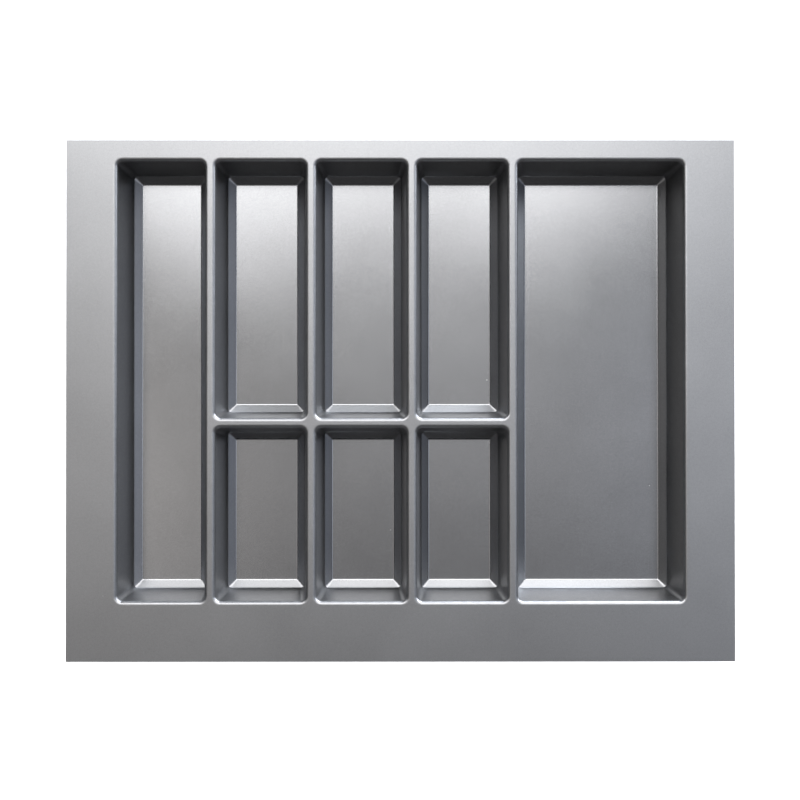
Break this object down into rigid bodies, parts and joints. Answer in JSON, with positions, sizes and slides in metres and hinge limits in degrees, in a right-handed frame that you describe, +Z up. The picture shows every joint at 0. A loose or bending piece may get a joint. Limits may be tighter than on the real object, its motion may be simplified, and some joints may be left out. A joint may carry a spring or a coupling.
{
  "type": "cutlery tray",
  "caption": "Shallow formed-plastic drawer insert: a flat deck to trim to the drawer, with sunken compartments of several sizes that keep cutlery sorted.",
  "frame": {"origin": "under the middle of the tray's outline, at the underside of the compartment floors", "axes": "+X to the right along the long side, +Y to the rear of the drawer, +Z up out of the compartments"},
  "size_m": [0.6296, 0.4912, 0.05],
  "materials": {
    "silver_plastic": "satin metallic-effect silver grey"
  },
  "bodies": {
    "root": {"deck": "silver_plastic", "narrow_bay": "silver_plastic", "wide_bay": "silver_plastic", "rear_left_bay": "silver_plastic", "front_left_bay": "silver_plastic", "rear_middle_bay": "silver_plastic", "front_middle_bay": "silver_plastic", "rear_right_bay": "silver_plastic", "front_right_bay": "silver_plastic"}
  },
  "joints": []
}
